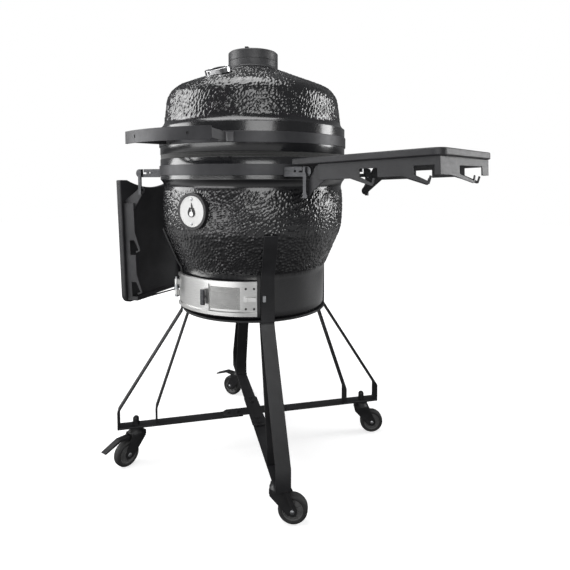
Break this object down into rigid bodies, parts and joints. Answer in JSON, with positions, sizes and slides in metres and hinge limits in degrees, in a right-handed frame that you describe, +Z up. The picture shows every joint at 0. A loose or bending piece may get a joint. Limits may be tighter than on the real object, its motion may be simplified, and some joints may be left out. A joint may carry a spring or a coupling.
{
  "type": "kamado grill",
  "caption": "Black pebbled-glaze ceramic kamado grill on a wheeled flat-bar stand, with a hinged lid, draft door, top vent and folding side tables.",
  "frame": {"origin": "on the floor under the axis of the ceramic bowl", "axes": "+Z up along the bowl's axis, the front with the draft door faces -Y, +X is the user's right when facing the grill"},
  "size_m": [1.1183, 0.754, 1.246],
  "materials": {
    "ceramic_glaze": "gloss",
    "ceramic_raw": "matte",
    "band_coat": "satin",
    "stand_coat": "satin",
    "stainless": "brushed",
    "zinc": "satin",
    "cast_vent": "satin",
    "table_coat": "satin",
    "felt": "matte",
    "black_plastic": "satin",
    "dial_white": "matte",
    "needle_red": "satin",
    "lens_glass": "gloss",
    "tread": "matte"
  },
  "bodies": {
    "stand": {"cradle": "stand_coat", "leg_front_right": "stand_coat", "leg_front_left": "stand_coat", "leg_back_right": "stand_coat", "leg_back_left": "stand_coat", "leg_struts": "stand_coat", "cross_plate": "stand_coat", "frame_bolts": "stand_coat", "cap_nuts": "stand_coat", "base_shell": "ceramic_glaze", "base_gasket": "felt", "base_band": "band_coat", "hinge_base_bracket": "band_coat", "hinge_pin": "zinc", "hinge_springs": "stand_coat", "fire_bowl": "ceramic_raw", "charcoal_grate": "stand_coat", "fire_ring": "ceramic_raw", "heat_deflectors": "ceramic_raw", "grill_rack": "stainless", "cooking_grates": "stainless", "ash_tray": "stainless", "badge_ring": "stand_coat", "badge_plate": "stainless", "badge_screws": "stand_coat", "table_arms": "zinc", "hatch_mounts": "zinc"},
    "lid": {"lid_shell": "ceramic_glaze", "lid_gasket": "felt", "lid_band": "band_coat", "hinge_lid_bracket": "band_coat", "handle_grip": "band_coat", "handle_brackets": "band_coat", "handle_screws": "stand_coat", "thermometer_case": "stainless", "thermometer_lens": "lens_glass", "thermometer_dial": "dial_white", "vent_housing": "cast_vent"},
    "needle": {"thermometer_needle": "needle_red"},
    "vent_cap": {"vent_cap": "cast_vent"},
    "hatch": {"hatch_plate": "stainless", "hatch_screen": "stainless", "hatch_screws": "stand_coat"},
    "draft": {"draft_plate": "stainless", "draft_knob": "stainless"},
    "lever": {"hatch_lever": "stainless"},
    "table_right": {"table_right_top": "table_coat", "table_right_apron": "table_coat"},
    "table_left": {"table_left_top": "table_coat", "table_left_apron": "table_coat"},
    "swivel_front_right": {"caster_front_right": "black_plastic"},
    "wheel_front_right": {"wheel_front_right": "tread"},
    "swivel_front_left": {"caster_front_left": "black_plastic"},
    "wheel_front_left": {"wheel_front_left": "tread"},
    "swivel_back_right": {"caster_back_right": "black_plastic"},
    "wheel_back_right": {"wheel_back_right": "tread"},
    "swivel_back_left": {"caster_back_left": "black_plastic"},
    "wheel_back_left": {"wheel_back_left": "tread"},
    "brake_front_left": {"brake_front_left": "black_plastic"},
    "brake_back_left": {"brake_back_left": "black_plastic"}
  },
  "joints": [
    {"name": "lid_hinge", "type": "hinge", "parent": "stand", "child": "lid", "pos_m": [0, 0.34, 0.905], "axis": [-1, 0, 0], "range_deg": [0, 70]},
    {"name": "vent_turn", "type": "hinge", "parent": "lid", "child": "vent_cap", "pos_m": [0, 0, 1.225], "axis": [0, 0, 1], "range_deg": [0, 90]},
    {"name": "thermometer_needle", "type": "hinge", "parent": "lid", "child": "needle", "pos_m": [0, -0.16687, 1.1583], "axis": [0, 0.3746, -0.9272], "range_deg": [0, 250], "stiffness_Nm_per_rad": 0.002},
    {"name": "hatch_hinge", "type": "hinge", "parent": "stand", "child": "hatch", "pos_m": [-0.15903, -0.17975, 0.532], "axis": [0, 0, -1], "range_deg": [0, 95]},
    {"name": "draft_slide", "type": "hinge", "parent": "hatch", "child": "draft", "pos_m": [0, 0, 0.5325], "axis": [0, 0, 1], "range_deg": [0, 24]},
    {"name": "hatch_lever_turn", "type": "hinge", "parent": "hatch", "child": "lever", "pos_m": [0.119, -0.20611, 0.532], "axis": [-0.5, 0.866, 0], "range_deg": [0, 90]},
    {"name": "table_right_fold", "type": "hinge", "parent": "stand", "child": "table_right", "pos_m": [0.31804, -0.05037, 0.822], "axis": [0.1564, 0.9877, 0], "range_deg": [0, 94]},
    {"name": "table_left_fold", "type": "hinge", "parent": "stand", "child": "table_left", "pos_m": [-0.31804, -0.05037, 0.822], "axis": [-0.1564, 0.9877, 0], "range_deg": [0, 94]},
    {"name": "swivel_front_right", "type": "hinge", "parent": "stand", "child": "swivel_front_right", "pos_m": [0.25809, -0.25809, 0.1], "axis": [0, 0, 1], "continuous": true},
    {"name": "wheel_spin_front_right", "type": "hinge", "parent": "swivel_front_right", "child": "wheel_front_right", "pos_m": [0.28955, -0.24275, 0.0375], "axis": [-0.4384, 0.8988, 0], "continuous": true},
    {"name": "swivel_front_left", "type": "hinge", "parent": "stand", "child": "swivel_front_left", "pos_m": [-0.25809, -0.25809, 0.1], "axis": [0, 0, 1], "continuous": true},
    {"name": "wheel_spin_front_left", "type": "hinge", "parent": "swivel_front_left", "child": "wheel_front_left", "pos_m": [-0.26175, -0.2929, 0.0375], "axis": [0.9945, -0.1045, 0], "continuous": true},
    {"name": "brake_front_left", "type": "hinge", "parent": "swivel_front_left", "child": "brake_front_left", "pos_m": [-0.26039, -0.27997, 0.084], "axis": [0.9945, -0.1045, 0], "range_deg": [0, 15]},
    {"name": "swivel_back_right", "type": "hinge", "parent": "stand", "child": "swivel_back_right", "pos_m": [0.25809, 0.25809, 0.1], "axis": [0, 0, 1], "continuous": true},
    {"name": "wheel_spin_back_right", "type": "hinge", "parent": "swivel_back_right", "child": "wheel_back_right", "pos_m": [0.28809, 0.27612, 0.0375], "axis": [-0.515, 0.8572, 0], "continuous": true},
    {"name": "swivel_back_left", "type": "hinge", "parent": "stand", "child": "swivel_back_left", "pos_m": [-0.25809, 0.25809, 0.1], "axis": [0, 0, 1], "continuous": true},
    {"name": "wheel_spin_back_left", "type": "hinge", "parent": "swivel_back_left", "child": "wheel_back_left", "pos_m": [-0.29309, 0.25871, 0.0375], "axis": [-0.0175, -0.9998, 0], "continuous": true},
    {"name": "brake_back_left", "type": "hinge", "parent": "swivel_back_left", "child": "brake_back_left", "pos_m": [-0.28009, 0.25848, 0.084], "axis": [-0.0175, -0.9998, 0], "range_deg": [0, 15]}
  ]
}
